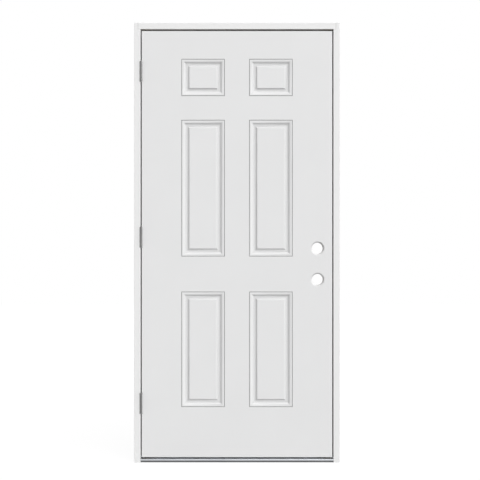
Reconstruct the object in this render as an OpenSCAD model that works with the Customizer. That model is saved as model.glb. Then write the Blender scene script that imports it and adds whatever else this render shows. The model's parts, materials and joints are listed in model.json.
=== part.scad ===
// Panelled front door hung in its own frame: an outswing steel slab with six raised panels,
// hinged on the left and drawn shut. Millimetres, +Z up, the outside face towards -Y.
// The origin is the middle of the sill's underside.

/* [Slab] */
// Width of the slab
slab_w = 908; // [760:1:1060]
// Height of the slab
slab_h = 2029; // [1950:1:2400]
// Thickness of the slab
slab_t = 44.5; // [42:0.5:52]
// Sheet thickness of the steel skins
skin_t = 0.8; // [0.5:0.1:1.2]
// Depth of the folded skin edge on the slab's sides
return_w = 12; // [9:0.5:16]
// Outer radius of the folded skin edge
fold_r = 2; // [1.5:0.1:4]
// Width of the wooden stiles
stile_w = 38; // [34:1:50]
// Height of the wooden rails
rail_h = 45; // [30:1:80]

/* [Panels] */
// Slab edge to the nearest panel column
side_margin = 189; // [165:0.5:215]
// Gap between the two panel columns
mid_margin = 116; // [90:1:150]
// Slab bottom to the bottom panels
bottom_margin = 238; // [200:0.5:300]
// Height of the bottom panels
low_panel_h = 550; // [400:1:650]
// Gap between the bottom and middle panels
lock_margin = 167; // [130:1:220]
// Gap between the middle and top panels
frieze_margin = 113.5; // [80:0.5:150]
// Height of the top panels
top_panel_h = 177; // [140:0.5:220]
// Top panels to the slab top
top_margin = 132.5; // [100:0.5:200]

/* [Panel moulding] */
// Width of the V groove round each panel
quirk_w = 3.4; // [2:0.1:6]
// Depth of the V groove
quirk_d = 2.5; // [1:0.1:4]
// Flat between the groove and the ovolo
bead_flat = 2.6; // [0.6:0.1:4]
// Radius of the ovolo
ovolo_r = 17.5; // [10:0.5:20]
// Angle that the ovolo and its fillet turn through
ovolo_a = 43; // [30:1:50]
// Radius of the fillet under the ovolo
fillet_r = 12.5; // [3:0.5:20]
// Flat along the lowest line
valley_flat = 0.8; // [0.6:0.1:4]
// Width of the hollow that rises to the field
scoop_w = 13; // [10:0.5:28]
// Radius that rounds the hollow into the field
crown_r = 4; // [2:0.5:8]
// Depth of the raised field below the face
field_d = 1.7; // [1:0.1:4]

/* [Lock bores] */
// Lock edge to the centre of the bores
backset = 69.85; // [60:0.05:85]
// Diameter of the bores through the slab
bore_d = 54; // [48:0.1:58]
// Width of the dished skin rim round a bore
rim_w = 5.5; // [2:0.5:6]
// Depth of the dished rim
rim_d = 6.5; // [3:0.5:8]
// Slab bottom to the centre of the lower bore
low_bore_h = 845; // [800:0.5:960]
// Spacing of the two bores
bore_spacing = 149; // [130:0.5:160]
// Diameter of the edge bores and strike holes
edge_bore_d = 25.4; // [20:0.1:28]
// Height of the faceplate and strike recesses
faceplate_h = 57; // [54:0.5:70]
// Width of the faceplate and strike recesses
faceplate_w = 28; // [26:0.5:32]
// Depth of the faceplate and strike recesses
faceplate_t = 3.2; // [1.6:0.1:4]
// Corner radius of the faceplate and strike recesses
faceplate_r = 6.4; // [3:0.1:10]
// Wood left round the bores in the lock block
block_land = 45; // [25:1:55]

/* [Frame] */
// Depth of the jambs from front to back
jamb_depth = 116; // [105:0.5:170]
// Thickness of the jambs beside the slab
jamb_t = 30.1; // [28:0.1:40]
// Height of the stop above the rabbet
stop_t = 12.5; // [10:0.5:16]
// Gap between the slab and each side jamb
side_gap = 5.4; // [3.5:0.1:6]
// Gap between the slab and the head
top_gap = 9; // [3:0.1:10]
// Floor to the bottom of the slab
slab_lift = 26.5; // [24:0.5:34]
// Slab face behind the front of the jambs
slab_inset = 1; // [0.5:0.1:4]
// Gap between the slab's back and the stop
seal_gap = 9.5; // [7:0.1:12]
// Depth of the housing that takes each end of the head
housing_d = 12.5; // [8:0.5:16]
// Radius on the jambs' edges
ease_r = 1.5; // [0.8:0.1:2.5]
// Joint left between fixed pieces that butt
joint_gap = 0.3; // [0.1:0.05:0.5]

/* [Weatherstrip] */
// Width of the saw kerf in the stop
kerf_w = 3; // [2.4:0.1:4]
// Depth of the kerf
kerf_d = 11; // [8:0.5:13]
// Stop's corner to the kerf
kerf_off = 1; // [0.8:0.1:3]
// Play of the strip's stem in its kerf
kerf_fit = 0.2; // [0.1:0.05:0.4]
// Clearance of the seals from the shut slab
seal_clear = 0.3; // [0.2:0.05:0.6]
// Radius on the nose of the seals
seal_r = 3; // [1:0.1:4]

/* [Threshold] */
// Gap between the slab and the tread
under_gap = 8; // [3:0.5:9]
// Fall of the tread at its nose
nose_fall = 1; // [0.5:0.5:4]
// Run of the sloped nose, which overhangs the substrate
nose_run = 8; // [6:0.5:14]
// Radius of the nose
nose_r = 3; // [2:0.5:4]
// Height of the lip's lower edge above the floor
lip_z = 9.5; // [5:0.5:10]
// Wall of the aluminium threshold
sill_wall = 2.2; // [1.6:0.1:3]
// Lap of the upstand behind the slab
up_lap = 14; // [12:0.5:20]
// Width of the upstand
up_w = 11; // [9:0.5:16]
// Gap between the slab's back and the upstand
bumper_gap = 6; // [4.5:0.1:6.5]
// Depth of the bumper's slot in the upstand
slot_d = 5; // [3:0.5:6]
// Height of the bumper's slot
slot_h = 3; // [2:0.1:4]
// Height of the bumper's bulb
bumper_h = 10; // [7:0.5:11]
// Height of the threshold's inner shelf
shelf_z = 26; // [22:0.5:32]
// Spacing of the grooves in the tread
flute_pitch = 6; // [4:0.5:10]
// Depth of the grooves in the tread
flute_d = 0.9; // [0.4:0.1:1.2]

/* [Hinges] */
// Height of a hinge
hinge_h = 98; // [90:1:115]
// Thickness of the leaves
leaf_t = 2.5; // [2:0.1:3]
// Diameter of the barrel
barrel_d = 12.5; // [12:0.5:15]
// Front of the jambs to the barrel
barrel_clear = 1; // [0.5:0.5:9]
// Diameter of the pin
pin_d = 7; // [5:0.1:7.6]
// Running clearance round the pin, on the radius
pin_clear = 0.05; // [0.02:0.01:0.1]
// Diameter of the pin's button ends
pin_head_d = 10.5; // [9:0.5:12]
// Height of the pin's button ends
pin_head_h = 1; // [0.8:0.1:3]
// Space between neighbouring knuckles
knuckle_gap = 0.4; // [0.3:0.05:0.6]
// Leaf end to the slab's back face
leaf_backset = 6; // [4:0.5:10]
// Corner radius of the leaves
leaf_r = 16; // [6:0.5:18]
// Play round a leaf in its gain
gain_fit = 0.2; // [0.1:0.05:0.4]
// Slab top to the centre of the top hinge
top_hinge_drop = 193; // [150:1:260]
// Slab bottom to the centre of the bottom hinge
low_hinge_rise = 257; // [180:0.5:320]

/* [Screws] */
// Diameter of the countersunk heads
screw_head_d = 8.4; // [7:0.1:9]
// Height of the countersunk heads
screw_head_h = 2.3; // [1.8:0.1:3]
// Diameter of the shanks
screw_d = 4.6; // [3.5:0.1:5]
// Play round a screw in its hole
screw_fit = 0.1; // [0.05:0.05:0.2]
// Length of the hinge screws
hinge_screw_l = 20; // [15:1:26]
// Spacing of the hinge screws along the leaf
hinge_screw_pitch = 24; // [20:0.5:26]
// Sideways stagger of the hinge screws
hinge_screw_shift = 8; // [5:0.5:9]
// Length of the screws that join the head and the sill to the jambs
joint_screw_l = 75; // [65:1:90]

/* [Hidden] */

// Facets of the round forms, and steps in a drawn arc
$fn = 48;
arc_n = 8;
// Reach of a cut past the face it opens
over = 5;

// Colours
primer = "whitesmoke";
frame_white = "white";
foam_yellow = "khaki";
raw_wood = "burlywood";
composite = "dimgray";
mill_aluminium = "lightgray";
dark_rubber = "darkslategray";
satin_steel = "darkgray";
zinc = "silver";

// Heights, from the floor
slab_z = slab_lift;
slab_top = slab_z + slab_h;
head_z = slab_top + top_gap;
frame_h = head_z + jamb_t;

// Half opening and width of the frame
jamb_in = slab_w / 2 + side_gap;
frame_w = 2 * (jamb_in + jamb_t);

// Depths: the jamb section is drawn from its outer face (u) and from its front (v)
y_front = -jamb_depth / 2;
y_back = jamb_depth / 2;
slab_y = y_front + slab_inset;
slab_back = slab_y + slab_t;
slab_mid = slab_y + slab_t / 2;
stop_u = jamb_t + stop_t;
stop_v = slab_inset + slab_t + seal_gap;
stop_y = y_front + stop_v;
kerf_u0 = jamb_t + kerf_off;
kerf_u1 = kerf_u0 + kerf_w;
head_len = frame_w - 2 * (jamb_t - housing_d);

// Panel layout: columns by their centres, rows by their lower edge and height
panel_w = slab_w / 2 - side_margin - mid_margin / 2;
panel_x = (mid_margin + panel_w) / 2;
mid_panel_h = slab_h - bottom_margin - low_panel_h - lock_margin - frieze_margin - top_panel_h - top_margin;
mid_panel_z = bottom_margin + low_panel_h + lock_margin;
top_panel_z = mid_panel_z + mid_panel_h + frieze_margin;
panel_rows = [[bottom_margin, low_panel_h], [mid_panel_z, mid_panel_h], [top_panel_z, top_panel_h]];

// Moulding, as points of inset from the panel's edge and depth below the face
ovolo_u = quirk_w + bead_flat;
valley_u = ovolo_u + (ovolo_r + fillet_r) * sin(ovolo_a);
valley_d = (ovolo_r + fillet_r) * (1 - cos(ovolo_a));
scoop_u = valley_u + valley_flat;
scoop_a = 2 * atan((valley_d - field_d) / scoop_w);
scoop_r = scoop_w / sin(scoop_a) - crown_r;
groove_out = [[-quirk_w / 2, -quirk_d], [quirk_w, 2 * quirk_d]];
groove_in = [[0, 2 * quirk_d], [quirk_w * 3 / 2, -quirk_d]];
ovolo = concat(
    lead_in(arc(ovolo_u, ovolo_r, ovolo_r, -90, ovolo_a - 90)),
    tail(arc(valley_u, valley_d - fillet_r, fillet_r, 90 + ovolo_a, 90))
);
scoop = concat(
    lead_in(arc(scoop_u, valley_d - scoop_r, scoop_r, 90, 90 - scoop_a)),
    tail(arc(scoop_u + scoop_w, field_d + crown_r, crown_r, 270 - scoop_a, 270))
);

// Lock bores, their heights and the block of wood round them
bore_r = bore_d / 2;
bore_x = slab_w / 2 - backset;
bore_zs = [slab_z + low_bore_h, slab_z + low_bore_h + bore_spacing];
stile_x = slab_w / 2 - stile_w;
block_x = bore_x - bore_r - block_land;
block_z0 = bore_zs[0] - bore_r - block_land;
block_z1 = bore_zs[1] + bore_r + block_land;

// Threshold section
tread_z = slab_z - under_gap;
nose_z = tread_z - nose_fall;
tread_y = y_front + nose_run;
up_y = slab_back + bumper_gap;
up_z = slab_z + up_lap;
bumper_z = slab_z + up_lap / 2;
flute_n = floor((up_y - tread_y) / flute_pitch - 1 / 2);

// Hinges: axis, heights and leaf reach, measured from the axis
axis_x = -jamb_in + side_gap / 2;
axis_y = y_front - barrel_clear - barrel_d / 2;
top_hinge_z = slab_top - top_hinge_drop;
low_hinge_z = slab_z + low_hinge_rise;
mid_hinge_z = (top_hinge_z + low_hinge_z) / 2;
hinge_zs = [top_hinge_z, mid_hinge_z, low_hinge_z];
knuckles = 5;
knuckle_pitch = hinge_h / knuckles;
leaf_start = barrel_d / 2 + knuckle_gap;
leaf_end = slab_back - leaf_backset - axis_y;
leaf_mid = (slab_y - axis_y + leaf_end) / 2;
hinge_screws = 4;

// Screw details
screw_rim = 0.4;
screw_sink = 0.1;
screw_tip = 5;
recess_w = 1.1;
recess_d = 1.4;

function arc(cx, cy, r, a0, a1) =
    [for (i = [0:arc_n]) let (a = a0 + (a1 - a0) * i / arc_n) [cx + r * cos(a), cy + r * sin(a)]];

function tail(pts) = [for (i = [1:len(pts) - 1]) pts[i]];

// The same curve, started one step before its first point so that it crosses the face there
function lead_in(pts) = concat([2 * pts[0] - pts[1]], tail(pts));

function flipped(pts) = [for (p = pts) [p[1], p[0]]];

function rounded(w, h, r) = concat(
    arc(w / 2 - r, h / 2 - r, r, 0, 90),
    arc(r - w / 2, h / 2 - r, r, 90, 180),
    arc(r - w / 2, r - h / 2, r, 180, 270),
    arc(w / 2 - r, r - h / 2, r, 270, 360)
);

// A half profile of [inset, depth] points, drawn on both sides of a width and closed at the depth cap
function across(half, side, cap) = concat(
    [[side[0][0] - half, cap]],
    [for (p = side) [p[0] - half, p[1]]],
    [for (i = [len(side) - 1:-1:0]) [half - side[i][0], side[i][1]]],
    [[half - side[0][0], cap]]
);

// Extrudes a section drawn in Y and Z along X, centred
module along_x(length) rotate([90, 0, 90]) translate([0, 0, -length / 2]) linear_extrude(length) children();

// Box given by its low and high corners
module span_box(low, high) translate(low) cube(high - low);

// Mirrors the slab's front form to its back
module on_back() translate([0, 2 * slab_mid, 0]) mirror([0, 1, 0]) children();

// Panel form: two crossed extrusions of one profile, which meet in mitres
module mitred(w, h, side, cap) {
    intersection() {
        translate([0, 0, -h]) linear_extrude(2 * h) polygon(across(w / 2, side, cap));
        along_x(2 * w) polygon(flipped(across(h / 2, side, cap)));
    }
}

// Hollow of one panel: the V groove, then the ovolo down to the valley with the raised field left standing
module panel_hollow(w, h) {
    difference() {
        mitred(w, h, groove_out, -over);
        mitred(w, h, groove_in, 2 * quirk_d + over);
    }
    difference() {
        mitred(w, h, ovolo, -over);
        mitred(w, h, scoop, valley_d + over);
    }
}

module panel_hollows() {
    for (x = [-panel_x, panel_x], row = panel_rows)
        translate([x, slab_y, slab_z + row[0] + row[1] / 2]) panel_hollow(panel_w, row[1]);
}

// Slab in one piece, t inside its outer faces
module slab_blank(t) {
    translate([0, slab_mid, slab_z]) linear_extrude(slab_h)
        polygon(rounded(slab_w - 2 * t, slab_t - 2 * t, fold_r - t));
}

// Dished rims of the lock bores in the front face, t inside the skin's surface
module bore_rims(t) {
    flare = rim_w / rim_d;
    for (z = bore_zs) translate([bore_x, slab_y + t - over, z]) rotate([-90, 0, 0])
        cylinder(r1 = bore_r + rim_w + over * flare, r2 = bore_r, h = rim_d + over);
}

module bores() {
    for (z = bore_zs) translate([bore_x, slab_y - over, z]) rotate([-90, 0, 0])
        cylinder(r = bore_r, h = slab_t + 2 * over);
}

module edge_bores() {
    for (z = bore_zs) translate([bore_x, slab_mid, z]) rotate([0, 90, 0])
        cylinder(d = edge_bore_d, h = backset + over);
}

// Recesses for plates, cut to the plane x and open towards the gap beside the slab
module plate_recesses(x0, x1) {
    for (z = bore_zs) translate([(x0 + x1) / 2, slab_mid, z])
        along_x(x1 - x0) polygon(rounded(faceplate_w, faceplate_h, faceplate_r));
}

module faceplate_recesses() plate_recesses(slab_w / 2 - faceplate_t, slab_w / 2 + side_gap / 2);

// Slab with its front formed, t below the skin's surface
module formed_front(t) {
    difference() {
        slab_blank(t);
        translate([0, t, 0]) panel_hollows();
        bore_rims(t);
        bores();
    }
}

// Room of the front skin: the face and its panels, and the folded edges at the sides
module skin_room() {
    fold_y = slab_y + return_w;
    half = slab_w / 2 + over;
    translate([0, 0, slab_z - over]) linear_extrude(slab_h + 2 * over) polygon([
        [-half, slab_y - over], [half, slab_y - over], [half, fold_y], [stile_x, fold_y],
        [stile_x, slab_mid], [-stile_x, slab_mid], [-stile_x, fold_y], [-half, fold_y]
    ]);
}

module skin() {
    intersection() {
        difference() {
            formed_front(0);
            formed_front(skin_t);
        }
        skin_room();
    }
}

// What the skins enclose
module filling() {
    intersection() {
        formed_front(skin_t);
        on_back() formed_front(skin_t);
    }
}

module outer_skin() color(primer) difference() {
    skin();
    door_gains();
    faceplate_recesses();
}

module inner_skin() color(primer) difference() {
    on_back() skin();
    door_gains();
    faceplate_recesses();
}

module block_box() span_box([block_x, slab_y, block_z0], [stile_x, slab_back, block_z1]);

module foam_core() color(foam_yellow) difference() {
    intersection() {
        filling();
        span_box([-stile_x, slab_y, slab_z + rail_h], [stile_x, slab_back, slab_top - rail_h]);
    }
    block_box();
}

module lock_block() color(raw_wood) difference() {
    intersection() {
        filling();
        block_box();
    }
    edge_bores();
}

// Stile inside the skins, with the lug that shows between their folded edges
module stile() {
    lug_y0 = slab_y + return_w;
    lug_y1 = slab_back - return_w;
    intersection() {
        slab_blank(skin_t);
        span_box([stile_x, slab_y, slab_z], [slab_w / 2, slab_back, slab_top]);
    }
    span_box([slab_w / 2 - skin_t - fold_r, lug_y0, slab_z], [slab_w / 2, lug_y1, slab_top]);
}

module hinge_stile() color(raw_wood) difference() {
    mirror([1, 0, 0]) stile();
    door_gains();
    for (z = hinge_zs) at_hinge(z) leaf_screw_holes();
}

module lock_stile() color(raw_wood) difference() {
    stile();
    faceplate_recesses();
    edge_bores();
    bores();
    bore_rims(skin_t);
    on_back() bore_rims(skin_t);
}

module rail(z) span_box([-stile_x, slab_y + skin_t, z], [stile_x, slab_back - skin_t, z + rail_h]);

module top_rail() color(raw_wood) rail(slab_top - rail_h);

module bottom_rail() color(composite) rail(slab_z);

// Countersunk screw along +Z from the surface at 0, grown all round for its hole
function screw_section(length, grow, top) = [
    [0, top], [screw_head_d / 2 + grow, top], [screw_head_d / 2 + grow, screw_rim],
    [screw_d / 2 + grow, screw_head_h], [screw_d / 2 + grow, length - screw_tip], [0, length + grow]
];

module screw(length) {
    difference() {
        rotate_extrude() polygon(screw_section(length, 0, screw_sink));
        for (a = [0, 90]) rotate(a) span_box(
            [-screw_head_d / 3, -recess_w / 2, screw_sink - over], [screw_head_d / 3, recess_w / 2, recess_d]
        );
    }
}

module screw_hole(length) rotate_extrude() polygon(screw_section(length, screw_fit, -over));

module at_hinge(z) translate([axis_x, axis_y, z]) children();

// The frame's half of a hinge is the door's half seen in the mirror
module frame_half() mirror([1, 0, 0]) children();

// Leaf outline in depth and height, from y0 to its rounded end
function leaf_outline(y0, grow) = concat(
    [[y0, hinge_h / 2 + grow], [y0, -hinge_h / 2 - grow]],
    arc(leaf_end + grow - leaf_r, leaf_r - hinge_h / 2 - grow, leaf_r, 270, 360),
    arc(leaf_end + grow - leaf_r, hinge_h / 2 + grow - leaf_r, leaf_r, 0, 90)
);

module leaf_plate(y0, grow) translate([side_gap / 2 + leaf_t / 2, 0, 0])
    along_x(leaf_t) polygon(leaf_outline(y0, grow));

// Gain for a leaf, open to the front of the piece it is cut in
module gain() {
    leaf_plate(leaf_start, gain_fit);
    translate([-side_gap / 4, 0, 0]) leaf_plate(leaf_start, gain_fit);
}

module door_gains() for (z = hinge_zs) at_hinge(z) gain();

// Places its children at the leaf's screws, along +X from the leaf's face
module at_leaf_screws() {
    for (i = [0:hinge_screws - 1]) translate([
        side_gap / 2,
        leaf_mid + (i % 2 == 0 ? hinge_screw_shift : -hinge_screw_shift),
        (i - (hinge_screws - 1) / 2) * hinge_screw_pitch
    ]) rotate([0, 90, 0]) children();
}

module leaf_screw_holes() at_leaf_screws() screw_hole(hinge_screw_l);

// Half hinge on the +X side of its axis, with every second knuckle from the first one given
module leaf(first) {
    difference() {
        union() {
            leaf_plate(leaf_start, 0);
            for (i = [first:2:knuckles - 1]) {
                low = i == 0 ? 0 : knuckle_gap / 2;
                high = i == knuckles - 1 ? 0 : knuckle_gap / 2;
                translate([0, 0, i * knuckle_pitch - hinge_h / 2 + low]) {
                    cylinder(d = barrel_d, h = knuckle_pitch - low - high);
                    translate([side_gap / 2, 0, 0])
                        cube([leaf_t, leaf_start + leaf_t, knuckle_pitch - low - high]);
                }
            }
        }
        translate([0, 0, -hinge_h]) cylinder(r = pin_d / 2 + pin_clear, h = 2 * hinge_h);
        leaf_screw_holes();
    }
}

module door_leaf(z) color(satin_steel) at_hinge(z) leaf(1);

module frame_leaf(z) color(satin_steel) at_hinge(z) frame_half() leaf(0);

module door_screws(z) color(zinc) at_hinge(z) at_leaf_screws() screw(hinge_screw_l);

module frame_screws(z) color(zinc) at_hinge(z) frame_half() at_leaf_screws() screw(hinge_screw_l);

// Pin with a riveted button at each end
module hinge_pin(z) color(zinc) at_hinge(z) {
    reach = hinge_h / 2;
    edge = pin_head_h / 2;
    rotate_extrude() polygon(concat(
        [[0, -reach - pin_head_h]],
        arc(pin_head_d / 2 - edge, -reach - edge, edge, 270, 360),
        [[pin_head_d / 2, -reach], [pin_d / 2, -reach], [pin_d / 2, reach], [pin_head_d / 2, reach]],
        arc(pin_head_d / 2 - edge, reach + edge, edge, 0, 90),
        [[0, reach + pin_head_h]]
    ));
}

module top_hinge_door_leaf() door_leaf(top_hinge_z);
module middle_hinge_door_leaf() door_leaf(mid_hinge_z);
module bottom_hinge_door_leaf() door_leaf(low_hinge_z);
module top_hinge_door_screws() door_screws(top_hinge_z);
module middle_hinge_door_screws() door_screws(mid_hinge_z);
module bottom_hinge_door_screws() door_screws(low_hinge_z);
module top_hinge_frame_leaf() frame_leaf(top_hinge_z);
module middle_hinge_frame_leaf() frame_leaf(mid_hinge_z);
module bottom_hinge_frame_leaf() frame_leaf(low_hinge_z);
module top_hinge_frame_screws() frame_screws(top_hinge_z);
module middle_hinge_frame_screws() frame_screws(mid_hinge_z);
module bottom_hinge_frame_screws() frame_screws(low_hinge_z);
module top_hinge_pin() hinge_pin(top_hinge_z);
module middle_hinge_pin() hinge_pin(mid_hinge_z);
module bottom_hinge_pin() hinge_pin(low_hinge_z);

// Rabbeted jamb section with eased edges and the kerf for its weatherstrip
jamb_section = concat(
    arc(ease_r, ease_r, ease_r, 180, 270),
    arc(jamb_t - ease_r, ease_r, ease_r, 270, 360),
    [[jamb_t, stop_v], [kerf_u0, stop_v], [kerf_u0, stop_v + kerf_d]],
    [[kerf_u1, stop_v + kerf_d], [kerf_u1, stop_v]],
    arc(stop_u - ease_r, stop_v + ease_r, ease_r, 270, 360),
    arc(stop_u - ease_r, jamb_depth - ease_r, ease_r, 0, 90),
    arc(ease_r, jamb_depth - ease_r, ease_r, 90, 180)
);

// Room that the head needs in the side jambs
head_room = [
    [-over, -over], [jamb_t + joint_gap, -over], [jamb_t + joint_gap, stop_v - joint_gap],
    [stop_u + joint_gap, stop_v - joint_gap], [stop_u + joint_gap, jamb_depth + over], [-over, jamb_depth + over]
];

// Foam seal with a stem in the kerf
seal_section = concat(
    [[jamb_t + joint_gap, stop_v]],
    arc(jamb_t + joint_gap + seal_r, stop_v - seal_gap + seal_clear + seal_r, seal_r, 180, 270),
    arc(stop_u - seal_r, stop_v - seal_gap + seal_clear + seal_r, seal_r, 270, 360),
    [[stop_u, stop_v], [kerf_u1 - kerf_fit, stop_v], [kerf_u1 - kerf_fit, stop_v + kerf_d - 2 * kerf_fit]],
    [[kerf_u0 + kerf_fit, stop_v + kerf_d - 2 * kerf_fit], [kerf_u0 + kerf_fit, stop_v]]
);

// Sections of the frame, stood up on the hinge side or laid along the head
module upright(section, z0, z1) translate([-frame_w / 2, y_front, z0]) linear_extrude(z1 - z0) polygon(section);

module overhead(section, length) along_x(length)
    polygon([for (p = section) [y_front + p[1], frame_h - p[0]]]);

module side_jamb() {
    difference() {
        upright(jamb_section, 0, frame_h);
        overhead(head_room, head_len + 2 * joint_gap);
    }
}

// Places its children at the joint screws of the hinge side, along +X from the jamb's outer face
module at_head_screws() {
    for (i = [1:3]) translate([-frame_w / 2, y_front + jamb_depth * i / 4, frame_h - jamb_t / 2])
        rotate([0, 90, 0]) children();
}

module at_sill_screws() {
    for (y = [y_front / 2, y_back / 2]) translate([-frame_w / 2, y, (tread_z - sill_wall) / 2])
        rotate([0, 90, 0]) children();
}

module on_both_sides() for (side = [0, 1]) mirror([side, 0, 0]) children();

module joint_screw_holes() on_both_sides() {
    at_head_screws() screw_hole(joint_screw_l);
    at_sill_screws() screw_hole(joint_screw_l);
}

module hinge_jamb() color(frame_white) difference() {
    side_jamb();
    for (z = hinge_zs) at_hinge(z) frame_half() {
        gain();
        leaf_screw_holes();
    }
    joint_screw_holes();
}

module strike_jamb() color(frame_white) difference() {
    mirror([1, 0, 0]) side_jamb();
    plate_recesses(slab_w / 2 + side_gap / 2, jamb_in + faceplate_t);
    for (z = bore_zs) translate([jamb_in, slab_mid, z]) rotate([0, 90, 0])
        cylinder(d = edge_bore_d, h = jamb_t + over);
    joint_screw_holes();
}

module head_jamb() color(frame_white) difference() {
    overhead(jamb_section, head_len);
    joint_screw_holes();
}

module head_joint_screws() color(zinc) on_both_sides() at_head_screws() screw(joint_screw_l);

module sill_joint_screws() color(zinc) on_both_sides() at_sill_screws() screw(joint_screw_l);

// Side strips stand on the threshold's upstand and stop under the head's strip
module side_strip() upright(seal_section, up_z, head_z - stop_t - joint_gap);

module weatherstrip_hinge_side() color(dark_rubber) side_strip();

module weatherstrip_strike_side() color(dark_rubber) mirror([1, 0, 0]) side_strip();

module weatherstrip_head() color(dark_rubber) overhead(seal_section, 2 * (jamb_in - joint_gap));

// Plan of the sill: the full opening in front of the stops, and between the stops behind
module sill_plan() {
    wide = jamb_in - joint_gap;
    narrow = wide - stop_t;
    turn = stop_y - joint_gap;
    polygon([
        [-wide, y_front - over], [wide, y_front - over], [wide, turn], [narrow, turn],
        [narrow, y_back + over], [-narrow, y_back + over], [-narrow, turn], [-wide, turn]
    ]);
}

// A sill section drawn in depth and height, cut to the plan
module sill_piece() {
    intersection() {
        along_x(2 * jamb_in) children();
        translate([0, 0, -over]) linear_extrude(up_z + 2 * over) sill_plan();
    }
}

module sill_substrate() color(composite) difference() {
    sill_piece() polygon([
        [tread_y, 0], [tread_y, tread_z - sill_wall], [up_y + sill_wall, tread_z - sill_wall],
        [up_y + sill_wall, shelf_z - sill_wall], [y_back - sill_wall, shelf_z - sill_wall], [y_back - sill_wall, 0]
    ]);
    joint_screw_holes();
}

// Extruded tread, upstand and inner shelf
threshold_section = concat(
    [[y_front + sill_wall, lip_z], [y_front, lip_z]],
    arc(y_front + nose_r, nose_z - nose_r, nose_r, 180, 90),
    [[tread_y, tread_z], [up_y, tread_z]],
    arc(up_y + ease_r, up_z - ease_r, ease_r, 180, 90),
    arc(up_y + up_w - ease_r, up_z - ease_r, ease_r, 90, 0),
    [[up_y + up_w, shelf_z]],
    arc(y_back - nose_r, shelf_z - nose_r, nose_r, 90, 0),
    [[y_back, lip_z], [y_back - sill_wall, lip_z], [y_back - sill_wall, shelf_z - sill_wall]],
    [[up_y + sill_wall, shelf_z - sill_wall], [up_y + sill_wall, tread_z - sill_wall]],
    [[tread_y, tread_z - sill_wall], [y_front + sill_wall, nose_z - sill_wall]]
);

module threshold() color(mill_aluminium) difference() {
    sill_piece() difference() {
        polygon(threshold_section);
        translate([up_y - over, bumper_z - slot_h / 2]) square([over + slot_d, slot_h]);
    }
    for (i = [1:flute_n]) translate([0, tread_y + i * flute_pitch, tread_z]) rotate([45, 0, 0])
        cube([2 * frame_w, flute_d * sqrt(2), flute_d * sqrt(2)], center = true);
}

// Bulb gasket held in the upstand's slot
module threshold_bumper() color(dark_rubber) {
    nose_y = slab_back + seal_clear;
    bulb_r = min(seal_r, bumper_h / 2);
    sill_piece() polygon(concat(
        [[up_y, bumper_z - bumper_h / 2]],
        [[up_y, bumper_z - slot_h / 2 + kerf_fit], [up_y + slot_d - kerf_fit, bumper_z - slot_h / 2 + kerf_fit]],
        [[up_y + slot_d - kerf_fit, bumper_z + slot_h / 2 - kerf_fit], [up_y, bumper_z + slot_h / 2 - kerf_fit]],
        [[up_y, bumper_z + bumper_h / 2]],
        arc(nose_y + bulb_r, bumper_z + bumper_h / 2 - bulb_r, bulb_r, 90, 180),
        arc(nose_y + bulb_r, bumper_z - bumper_h / 2 + bulb_r, bulb_r, 180, 270)
    ));
}

outer_skin();
inner_skin();
foam_core();
hinge_stile();
lock_stile();
lock_block();
top_rail();
bottom_rail();
top_hinge_door_leaf();
middle_hinge_door_leaf();
bottom_hinge_door_leaf();
top_hinge_door_screws();
middle_hinge_door_screws();
bottom_hinge_door_screws();
hinge_jamb();
strike_jamb();
head_jamb();
sill_substrate();
threshold();
threshold_bumper();
weatherstrip_hinge_side();
weatherstrip_strike_side();
weatherstrip_head();
head_joint_screws();
sill_joint_screws();
top_hinge_frame_leaf();
middle_hinge_frame_leaf();
bottom_hinge_frame_leaf();
top_hinge_pin();
middle_hinge_pin();
bottom_hinge_pin();
top_hinge_frame_screws();
middle_hinge_frame_screws();
bottom_hinge_frame_screws();
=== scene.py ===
"""Looks of the panelled front door: finishes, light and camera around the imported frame."""
import json
import math
from collections import namedtuple

import bmesh
import bpy
from mathutils import Matrix, Vector


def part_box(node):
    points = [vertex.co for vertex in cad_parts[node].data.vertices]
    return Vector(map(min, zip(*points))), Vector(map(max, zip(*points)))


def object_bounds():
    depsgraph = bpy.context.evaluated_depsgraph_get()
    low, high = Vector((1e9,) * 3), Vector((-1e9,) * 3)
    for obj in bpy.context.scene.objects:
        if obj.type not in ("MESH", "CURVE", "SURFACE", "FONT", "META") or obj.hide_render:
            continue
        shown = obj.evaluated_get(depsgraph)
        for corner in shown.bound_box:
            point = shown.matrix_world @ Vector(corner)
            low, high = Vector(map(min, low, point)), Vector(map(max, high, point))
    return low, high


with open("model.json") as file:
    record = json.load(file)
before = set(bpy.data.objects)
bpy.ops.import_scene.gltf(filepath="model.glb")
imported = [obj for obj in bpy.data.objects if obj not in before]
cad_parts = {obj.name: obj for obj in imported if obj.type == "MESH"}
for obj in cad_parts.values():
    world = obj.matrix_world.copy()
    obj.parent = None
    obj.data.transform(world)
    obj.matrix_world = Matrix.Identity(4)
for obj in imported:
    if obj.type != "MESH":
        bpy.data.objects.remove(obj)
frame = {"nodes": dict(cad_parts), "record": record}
cad_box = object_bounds()

# The photograph's size, and the outline of the door's frame in it, in pixels
IMAGE_PX = 480
OUTLINE_LEFT = 134.2
OUTLINE_RIGHT = 339.7
OUTLINE_TOP = 22.80
OUTLINE_BOTTOM = 462.68

# Camera: distance from the front of the jambs in metres, sensor in millimetres
CAMERA_DISTANCE = 5.0
SENSOR_MM = 36.0

# Soft lamps: direction, counted from the door's outside round towards the lock side, height and spread, all
# in degrees, and strength
Lamp = namedtuple("Lamp", "compass height spread strength")
LAMPS = {
    "key": Lamp(38, 35, 66, 2.93),
    "back_fill": Lamp(215, 18, 36, 1.70),
}

# White surroundings: their light on the door, and their strength where they are seen
WHITE = (1.0, 1.0, 1.0, 1.0)
SURROUND_LIGHT = 0.44
SURROUND_SEEN = 1.0

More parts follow.
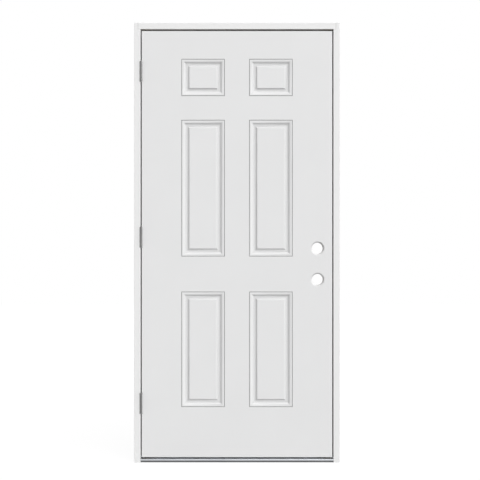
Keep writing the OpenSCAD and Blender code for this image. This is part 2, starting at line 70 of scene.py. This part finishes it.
# Floor: width in metres, grey where it is seen and where it lights the door, glow, and share of its shadow
FLOOR_SIZE = 24.0
FLOOR_ROUGHNESS = 0.9
FLOOR_SEEN = (0.95, 0.95, 0.95)
FLOOR_BOUNCE = (0.35, 0.35, 0.35)
FLOOR_GLOW = 1.02
FLOOR_SHADOW = 0.12

# Looks of the finishes: two colours and two roughnesses to vary between, and depth of the relief in metres
Look = namedtuple("Look", "first second smooth rough depth")
LOOKS = {
    "slab_primer": Look((0.740, 0.741, 0.743), (0.750, 0.751, 0.753), 0.42, 0.52, 3e-5),
    "frame_primer": Look((0.778, 0.778, 0.776), (0.792, 0.792, 0.791), 0.48, 0.60, 6e-5),
    "pine": Look((0.63, 0.575, 0.505), (0.47, 0.42, 0.36), 0.62, 0.80, 12e-5),
    "sealed_pine": Look((0.65, 0.635, 0.61), (0.51, 0.495, 0.475), 0.62, 0.80, 12e-5),
    "block": Look((0.27, 0.25, 0.23), (0.20, 0.18, 0.165), 0.62, 0.80, 12e-5),
    "core_foam": Look((0.84, 0.76, 0.52), (0.70, 0.61, 0.38), 0.75, 0.92, 40e-5),
    "sill_composite": Look((0.15, 0.155, 0.16), (0.21, 0.215, 0.22), 0.60, 0.75, 15e-5),
    "rail_composite": Look((0.70, 0.70, 0.70), (0.76, 0.76, 0.76), 0.60, 0.75, 15e-5),
    "sill_aluminium": Look((0.45, 0.465, 0.485), (0.50, 0.515, 0.535), 0.36, 0.46, 0.6e-5),
    "seal_rubber": Look((0.030, 0.030, 0.031), (0.048, 0.048, 0.049), 0.68, 0.82, 10e-5),
    "hinge_steel": Look((0.165, 0.165, 0.165), (0.205, 0.205, 0.205), 0.42, 0.55, 0.6e-5),
    "pin_steel": Look((0.36, 0.36, 0.36), (0.42, 0.42, 0.42), 0.24, 0.34, 0.6e-5),
    "screw_zinc": Look((0.56, 0.57, 0.60), (0.66, 0.66, 0.64), 0.24, 0.38, 2e-5),
}

# The span of each pattern over which a finish changes: plain noise, wood grain and foam cells
NOISE_SPAN = (0.3, 0.7)
WOOD_SPAN = (0.05, 0.62)
CELL_SPAN = (0.0, 0.8)

# Growth rings of the softwood: how far they stretch along the grain, how close they are, and how they wander
RING_STRETCH = 0.06
RINGS = {"Scale": 62.0, "Distortion": 3.5, "Detail": 3.0, "Detail Scale": 0.6, "Phase Offset": 2.0}

# Sheen of the slab's primer, and the shade painted into the colour of the mouldings' grooves: reach in
# metres, samples
SLAB_SHEEN = 0.35
PAINTED_SHADE_REACH = 0.022
PAINTED_SHADE_SAMPLES = 16

# Grey hairline at the head jamb's painted joints: width in metres, and tone at the joint itself
HAIRLINE_WIDTH = 0.002
HAIRLINE_TONE = 0.45

# Painted light on the threshold: its colour is brighter in the band under the shut slab, where the slab's
# shade falls: how far behind the slab's outer face each change starts and ends, in metres, and the tone that
# it brings
PAINTED_LIGHT_TONE = 1.65
PAINTED_LIGHT_EDGES = ((0.0, 0.007, PAINTED_LIGHT_TONE), (0.0515, 0.0525, 1 / PAINTED_LIGHT_TONE))

# Smoothing of the CAD meshes: corners closer than this are one, edges sharper than this stay sharp
WELD_DISTANCE = 1e-5
SHARP_ANGLE = math.radians(30)

# Pieces whose grain runs along X; it runs along Z in the others
CROSS_GRAIN = ("head_jamb", "top_rail")


def add_node(tree, kind, inputs=(), **settings):
    """A new node; an input is given as a number or colour, or as the output that feeds it."""
    node = tree.nodes.new(kind)
    for name, value in settings.items():
        setattr(node, name, value)
    for name, value in dict(inputs).items():
        if isinstance(value, bpy.types.NodeSocket):
            tree.links.new(value, node.inputs[name])
        else:
            node.inputs[name].default_value = value
    return node


def maths(tree, operation, first, second=0.0):
    """The result of a calculation with one or two values."""
    return add_node(tree, "ShaderNodeMath", {0: first, 1: second}, operation=operation).outputs["Value"]


def object_coords(tree):
    """The part's own coordinates, in metres."""
    return add_node(tree, "ShaderNodeTexCoord").outputs["Object"]


def scaled_coords(tree, per_metre):
    """The part's own coordinates, times a frequency for each axis."""
    inputs = {"Vector": object_coords(tree), "Scale": per_metre}
    return add_node(tree, "ShaderNodeMapping", inputs).outputs["Vector"]


def place_along(tree, axis):
    """Where a point lies along an axis, in metres."""
    return add_node(tree, "ShaderNodeSeparateXYZ", {"Vector": object_coords(tree)}).outputs[axis]


def even(per_metre):
    """One frequency for all three axes."""
    return (per_metre,) * 3


def along(axis, lengthwise, across):
    """Frequencies of a grain that runs along an axis."""
    return tuple(lengthwise if name == axis else across for name in "XYZ")


def noise(tree, per_metre, detail=2.0, distortion=0.0):
    """Noise with its frequency along each axis, in cycles per metre."""
    inputs = {"Vector": scaled_coords(tree, per_metre), "Scale": 1.0}
    inputs.update({"Detail": detail, "Distortion": distortion})
    return add_node(tree, "ShaderNodeTexNoise", inputs).outputs["Fac"]


def ranged(tree, value, span, first, last):
    """A value's span, stretched to run from first to last."""
    inputs = {"Value": value, "From Min": span[0], "From Max": span[1], "To Min": first, "To Max": last}
    return add_node(tree, "ShaderNodeMapRange", inputs).outputs["Result"]


def tint(tree, value, first, second, span=NOISE_SPAN):
    """Colour that runs from first to second over a value's span."""
    ramp = add_node(tree, "ShaderNodeValToRGB", {"Fac": value})
    for element, position, colour in zip(ramp.color_ramp.elements, span, (first, second)):
        element.position = position
        element.color = (*colour, 1.0)
    return ramp.outputs["Color"]


def toned(tree, colour, place, span, tone):
    """A colour that takes on a tone as the place runs through a span."""
    inputs = {0: colour, "Scale": ranged(tree, place, span, 1.0, tone)}
    return add_node(tree, "ShaderNodeVectorMath", inputs, operation="SCALE").outputs["Vector"]


def painted_groove_shade(tree, colour):
    """A colour with painted shade: greyer where a groove shuts in the surface and shade falls."""
    inputs = {"Color": colour, "Distance": PAINTED_SHADE_REACH}
    shade = add_node(tree, "ShaderNodeAmbientOcclusion", inputs, samples=PAINTED_SHADE_SAMPLES, only_local=True)
    return shade.outputs["Color"]


def hairlined(tree, colour):
    """A colour that turns grey in a hairline along both ends of the head jamb."""
    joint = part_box("head_jamb")[1][0]
    reach = maths(tree, "ABSOLUTE", place_along(tree, "X"))
    return toned(tree, colour, reach, (joint - HAIRLINE_WIDTH, joint), HAIRLINE_TONE)


def painted_light_under_slab(tree, colour):
    """A colour with painted light: brighter in the band under the shut slab, where the slab's shade falls."""
    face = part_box("outer_skin")[0][1]
    place = place_along(tree, "Y")
    for start, end, tone in PAINTED_LIGHT_EDGES:
        colour = toned(tree, colour, place, (face + start, face + end), tone)
    return colour


def new_finish(name, sockets):
    """A material with a Principled shader, and the values that are the same all over."""
    material = bpy.data.materials.new(name)
    material.use_nodes = True
    tree = material.node_tree
    shader = tree.nodes["Principled BSDF"]
    for socket, value in sockets.items():
        shader.inputs[socket].default_value = value
    return material, tree, shader


def dress(tree, shader, look, hue, gloss, height, span=NOISE_SPAN, shade=None):
    """Gives the shader a look whose colour, roughness and relief each follow a pattern."""
    colour = tint(tree, hue, look.first, look.second, span)
    relief = add_node(tree, "ShaderNodeBump", {"Height": height, "Strength": 1.0, "Distance": look.depth})
    sockets = {
        "Base Color": shade(tree, colour) if shade else colour,
        "Roughness": ranged(tree, gloss, NOISE_SPAN, look.smooth, look.rough),
        "Normal": relief.outputs["Normal"],
    }
    for name, output in sockets.items():
        tree.links.new(output, shader.inputs[name])


def slab_primer():
    """White primer baked on sheet steel: a low sheen with the orange peel of sprayed paint."""
    material, tree, shader = new_finish("slab_primer", {"Metallic": 0.0, "Specular IOR Level": SLAB_SHEEN})
    clouds = noise(tree, even(5))
    haze = noise(tree, even(60))
    peel = noise(tree, even(420), detail=1.0)
    # Painted shade: the primer's colour turns greyer deep in the mouldings' grooves, where shade falls
    dress(tree, shader, LOOKS["slab_primer"], clouds, haze, peel, shade=painted_groove_shade)
    return material


def frame_primer(axis):
    """White primer on a planed wooden jamb, with the grain just telegraphing through."""
    material, tree, shader = new_finish("frame_primer_" + axis, {"Metallic": 0.0})
    clouds = noise(tree, along(axis, 1.5, 60))
    grain = noise(tree, along(axis, 3, 260), detail=3.0, distortion=0.4)
    joints = hairlined if axis == "X" else None
    dress(tree, shader, LOOKS["frame_primer"], clouds, grain, grain, shade=joints)
    return material


def bare_wood(name, axis):
    """Planed softwood: growth rings round a pith outside the section, and fine fibres along the grain."""
    material, tree, shader = new_finish(name + "_" + axis, {"Metallic": 0.0})
    rings = add_node(
        tree, "ShaderNodeTexWave", {"Vector": scaled_coords(tree, along(axis, RING_STRETCH, 1)), **RINGS},
        wave_type="RINGS", rings_direction=axis, wave_profile="SAW",
    )
    fibres = noise(tree, along(axis, 8, 900), detail=4.0)
    grain = maths(tree, "MULTIPLY", rings.outputs["Fac"], fibres)
    dress(tree, shader, LOOKS[name], grain, fibres, fibres, span=WOOD_SPAN)
    return material


def core_foam():
    """Rigid foam with closed cells."""
    material, tree, shader = new_finish("core_foam", {"Metallic": 0.0})
    inputs = {"Vector": scaled_coords(tree, even(700)), "Scale": 1.0}
    cells = add_node(tree, "ShaderNodeTexVoronoi", inputs).outputs["Distance"]
    dress(tree, shader, LOOKS["core_foam"], cells, cells, cells, span=CELL_SPAN)
    return material


def speckled(name, per_metre):
    """Moulded composite with a fine speckle, or dark foam with a matt skin."""
    material, tree, shader = new_finish(name, {"Metallic": 0.0})
    speckle = noise(tree, even(per_metre), detail=3.0)
    dress(tree, shader, LOOKS[name], speckle, speckle, speckle)
    return material


def drawn_metal(name, axis, shade=None):
    """Metal with fine lines along an axis, from the die or the brush."""
    material, tree, shader = new_finish(name, {"Metallic": 1.0})
    stains = noise(tree, along(axis, 6, 30), detail=3.0)
    lines = noise(tree, along(axis, 5, 1500), detail=3.0)
    dress(tree, shader, LOOKS[name], stains, lines, lines, shade=shade)
    return material


def screw_zinc():
    """Bright zinc plate with a faint passivated bloom."""
    material, tree, shader = new_finish("screw_zinc", {"Metallic": 1.0})
    bloom = noise(tree, even(300))
    crystals = noise(tree, even(1200))
    dress(tree, shader, LOOKS["screw_zinc"], bloom, bloom, crystals)
    return material


def make_finishes():
    """Every finish by its slot in the record, with the grain's axis where it has one, or by its node."""
    return {
        "slab_primer": slab_primer(),
        "core_foam": core_foam(),
        "raw_wood_X": bare_wood("sealed_pine", "X"),
        "raw_wood_Z": bare_wood("pine", "Z"),
        "lock_block": bare_wood("block", "Z"),
        "frame_primer_X": frame_primer("X"),
        "frame_primer_Z": frame_primer("Z"),
        "sill_composite": speckled("sill_composite", 900),
        "rail_composite": speckled("rail_composite", 900),
        # Painted light: the threshold's colour is brighter under the shut slab, where the slab's shade falls
        "sill_aluminium": drawn_metal("sill_aluminium", "X", shade=painted_light_under_slab),
        "seal_rubber": speckled("seal_rubber", 600),
        "hinge_steel": drawn_metal("hinge_steel", "Z"),
        "pin_steel": drawn_metal("pin_steel", "X"),
        "screw_zinc": screw_zinc(),
    }


def smoothing_group():
    """Welds the split corners of a mesh, and shades it smooth between its real edges."""
    group = bpy.data.node_groups.new("weld_and_smooth", "GeometryNodeTree")
    for way in ("INPUT", "OUTPUT"):
        group.interface.new_socket("Geometry", in_out=way, socket_type="NodeSocketGeometry")
    mesh = add_node(group, "NodeGroupInput").outputs["Geometry"]
    plain = add_node(group, "GeometryNodeRemoveAttribute", {"Geometry": mesh, "Name": "custom_normal"})
    weld = add_node(
        group, "GeometryNodeMergeByDistance",
        {"Geometry": plain.outputs["Geometry"], "Distance": WELD_DISTANCE},
    )
    smooth = add_node(
        group, "GeometryNodeSetShadeSmooth",
        {"Geometry": weld.outputs["Geometry"], "Shade Smooth": True},
    )
    angle = add_node(group, "GeometryNodeInputMeshEdgeAngle").outputs["Unsigned Angle"]
    sharp = add_node(group, "FunctionNodeCompare", {"A": angle, "B": SHARP_ANGLE}, operation="GREATER_THAN")
    edges = add_node(
        group, "GeometryNodeSetShadeSmooth",
        {"Geometry": smooth.outputs["Geometry"], "Selection": sharp.outputs["Result"], "Shade Smooth": False},
        domain="EDGE",
    )
    add_node(group, "NodeGroupOutput", {"Geometry": edges.outputs["Geometry"]})
    return group


def dress_nodes():
    """Gives each CAD node its finish, and smooth shading that leaves its flat faces flat."""
    finishes = make_finishes()
    group = smoothing_group()
    slots = {row["node"]: row["material_slot"] for row in frame["record"]["subparts"]}
    for name, obj in frame["nodes"].items():
        grained = slots[name] + ("_X" if name in CROSS_GRAIN else "_Z")
        finish = finishes.get(name) or finishes.get(grained) or finishes[slots[name]]
        for slot in obj.material_slots:
            slot.material = finish
        obj.modifiers.new("weld_and_smooth", "NODES").node_group = group
        weighted = obj.modifiers.new("flat_faces", "WEIGHTED_NORMAL")
        weighted.mode = "FACE_AREA"
        weighted.keep_sharp = True


def place_camera():
    """A level camera along +Y, which puts the jambs' front where the photograph has it."""
    low, high = (Vector(corner) for corner in cad_box)
    metres_per_px = (high.z - low.z) / (OUTLINE_BOTTOM - OUTLINE_TOP)
    right = (IMAGE_PX - OUTLINE_LEFT - OUTLINE_RIGHT) / 2 * metres_per_px
    up = (OUTLINE_TOP + OUTLINE_BOTTOM - IMAGE_PX) / 2 * metres_per_px
    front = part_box("hinge_jamb")[0][1]
    data = bpy.data.cameras.new("camera")
    data.sensor_width = SENSOR_MM
    data.lens = SENSOR_MM * CAMERA_DISTANCE / (IMAGE_PX * metres_per_px)
    camera = bpy.data.objects.new("camera", data)
    camera.location = ((low.x + high.x) / 2 + right, front - CAMERA_DISTANCE, (low.z + high.z) / 2 + up)
    camera.rotation_euler = (math.pi / 2, 0, 0)
    bpy.context.scene.collection.objects.link(camera)
    bpy.context.scene.camera = camera


def seen_directly(tree):
    """1 for what the camera sees, also in metal or through a clear surface."""
    path = add_node(tree, "ShaderNodeLightPath").outputs
    seen = maths(tree, "MAXIMUM", path["Is Camera Ray"], path["Is Glossy Ray"])
    return maths(tree, "MAXIMUM", seen, path["Is Transmission Ray"])


def light_surroundings():
    """Even white surroundings."""
    world = bpy.data.worlds.new("surroundings")
    bpy.context.scene.world = world
    world.use_nodes = True
    tree = world.node_tree
    tree.nodes.clear()
    light = add_node(tree, "ShaderNodeBackground", {"Color": WHITE, "Strength": SURROUND_LIGHT})
    shown = add_node(tree, "ShaderNodeBackground", {"Color": WHITE, "Strength": SURROUND_SEEN})
    mix = add_node(
        tree, "ShaderNodeMixShader",
        {0: seen_directly(tree), 1: light.outputs["Background"], 2: shown.outputs["Background"]},
    )
    add_node(tree, "ShaderNodeOutputWorld", {"Surface": mix.outputs["Shader"]})


def add_lamps():
    """A key light on the upper right, and a fill from behind, in which the hinges throw no shade."""
    unshaded = bpy.data.collections.new("hinges")
    for name, obj in frame["nodes"].items():
        if "_hinge_" in name:
            unshaded.objects.link(obj)
    for member in unshaded.collection_objects:
        member.light_linking.link_state = "EXCLUDE"
    for name, lamp in LAMPS.items():
        data = bpy.data.lights.new(name, "SUN")
        data.energy = lamp.strength
        data.angle = math.radians(lamp.spread)
        obj = bpy.data.objects.new(name, data)
        obj.rotation_euler = (math.radians(90 - lamp.height), 0, math.radians(lamp.compass))
        obj.light_linking.blocker_collection = unshaded
        bpy.context.scene.collection.objects.link(obj)


def add_floor():
    """Plain pale floor that shows white, with a faint shadow of the door."""
    mesh = bpy.data.meshes.new("floor")
    shape = bmesh.new()
    bmesh.ops.create_grid(shape, x_segments=1, y_segments=1, size=FLOOR_SIZE / 2, matrix=Matrix.Identity(4))
    shape.to_mesh(mesh)
    shape.free()
    floor = bpy.data.objects.new("floor", mesh)
    bpy.context.scene.collection.objects.link(floor)
    material, tree, shader = new_finish("floor", {"Roughness": FLOOR_ROUGHNESS, "Specular IOR Level": 0.0})
    seen = seen_directly(tree)
    tree.links.new(tint(tree, seen, FLOOR_BOUNCE, FLOOR_SEEN), shader.inputs["Base Color"])
    white = add_node(tree, "ShaderNodeEmission", {"Strength": FLOOR_GLOW})
    share = maths(tree, "MULTIPLY", seen, 1.0 - FLOOR_SHADOW)
    mix = add_node(
        tree, "ShaderNodeMixShader",
        {0: share, 1: shader.outputs["BSDF"], 2: white.outputs["Emission"]},
    )
    tree.links.new(mix.outputs["Shader"], tree.nodes["Material Output"].inputs["Surface"])
    mesh.materials.append(material)


bpy.context.scene.view_settings.view_transform = "Standard"
dress_nodes()
place_camera()
light_surroundings()
add_lamps()
add_floor()
